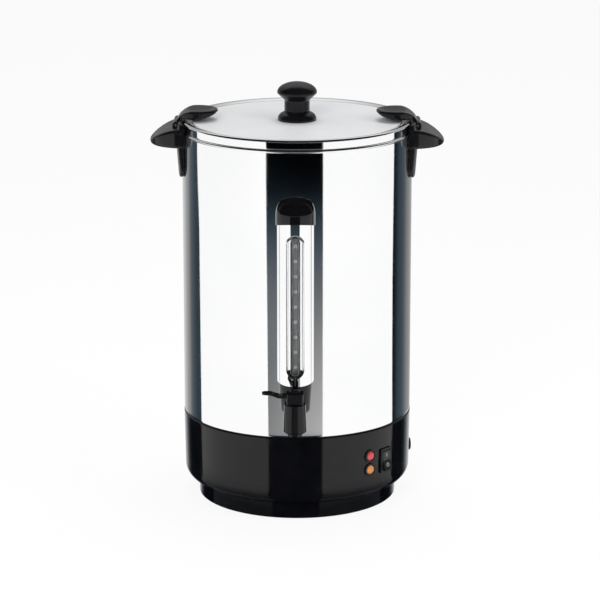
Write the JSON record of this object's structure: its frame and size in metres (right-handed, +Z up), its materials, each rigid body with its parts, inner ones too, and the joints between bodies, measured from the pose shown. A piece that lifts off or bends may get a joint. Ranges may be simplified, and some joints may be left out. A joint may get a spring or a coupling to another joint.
{
  "type": "electric water boiler",
  "caption": "Upright steel water boiler on a black base, with a lift-off lid, flip-up lid catches, side handles, a sight gauge and a lever tap.",
  "frame": {"origin": "on the floor, under the middle of the tank", "axes": "+Z up, -Y to the front where the tap and the gauge are, handles along X"},
  "size_m": [0.3576, 0.3424, 0.5179],
  "materials": {
    "polished_steel": "bright mirror polish",
    "plated_steel": "zinc plated",
    "black_phenolic": "moulded, semi-gloss",
    "gloss_black": "moulded, high gloss",
    "satin_black": "moulded, satin",
    "switch_black": "moulded, semi-gloss",
    "white_strip": "bright white enamel",
    "gauge_glass": "clear",
    "black_rubber": "moulded",
    "valve_plastic": "moulded",
    "brass": "turned",
    "red_lens": "clear tinted",
    "amber_lens": "clear tinted",
    "aluminium": "cast",
    "element_metal": "oxidised sheath",
    "ceramic_ivory": "moulded"
  },
  "bodies": {
    "root": {"tank": "polished_steel", "tank_studs": "plated_steel", "left_handle": "black_phenolic", "right_handle": "black_phenolic", "left_handle_screws": "plated_steel", "right_handle_screws": "plated_steel", "left_catch_pin": "plated_steel", "right_catch_pin": "plated_steel", "gauge_guard": "polished_steel", "gauge_back_strip": "white_strip", "gauge_tube": "gauge_glass", "gauge_top_cap": "gloss_black", "gauge_top_seal": "black_rubber", "gauge_bottom_seal": "black_rubber", "tap_housing": "gloss_black", "tap_body": "gloss_black", "tap_nozzle": "gloss_black", "tap_bonnet": "gloss_black", "tap_gasket": "black_rubber", "tap_nut": "plated_steel", "base_housing": "gloss_black", "base_cover": "satin_black", "base_nuts": "plated_steel", "rubber_feet": "black_rubber", "red_lamp_bezel": "satin_black", "red_lamp_lens": "red_lens", "amber_lamp_bezel": "satin_black", "amber_lamp_lens": "amber_lens", "switch_frame": "satin_black", "cord_gland": "satin_black", "cord_gland_nut": "satin_black", "heater_plate": "aluminium", "heating_element": "element_metal", "boil_thermostat": "ceramic_ivory", "warm_thermostat": "ceramic_ivory", "dry_cutout": "ceramic_ivory", "terminal_block": "ceramic_ivory"},
    "lid": {"lid": "polished_steel", "lid_knob": "black_phenolic", "lid_knob_washer": "plated_steel", "lid_knob_screw": "plated_steel"},
    "left_catch": {"left_catch": "black_phenolic"},
    "right_catch": {"right_catch": "black_phenolic"},
    "tap_lever": {"tap_lever": "gloss_black", "tap_lever_cap": "gloss_black", "tap_spindle": "brass"},
    "tap_plunger": {"tap_plunger": "valve_plastic", "tap_washer": "black_rubber"},
    "switch_rocker": {"switch_rocker": "switch_black"}
  },
  "joints": [
    {"name": "lid_lift", "type": "slide", "parent": "root", "child": "lid", "axis": [0, 0, 1], "range_m": [0, 0.0012]},
    {"name": "left_catch_turn", "type": "hinge", "parent": "root", "child": "left_catch", "pos_m": [-0.1465, 0, 0.4681], "axis": [0, -1, 0], "range_deg": [0, 110]},
    {"name": "right_catch_turn", "type": "hinge", "parent": "root", "child": "right_catch", "pos_m": [0.1465, 0, 0.4681], "axis": [0, 1, 0], "range_deg": [0, 110]},
    {"name": "tap_lever_turn", "type": "hinge", "parent": "root", "child": "tap_lever", "pos_m": [0, -0.187, 0.17], "axis": [0, 0, 1], "range_deg": [0, 90]},
    {"name": "tap_plunger_lift", "type": "slide", "parent": "root", "child": "tap_plunger", "axis": [0, 0, 1], "range_m": [0, 0.004]},
    {"name": "switch_rock", "type": "hinge", "parent": "root", "child": "switch_rocker", "pos_m": [0.1073, -0.08689, 0.066], "axis": [0.6293, 0.7771, 0], "range_deg": [0, 18]}
  ],
  "couplings": [
    {"joint": "tap_plunger_lift", "follows": "tap_lever_turn", "m_per_rad": 0.002546}
  ]
}
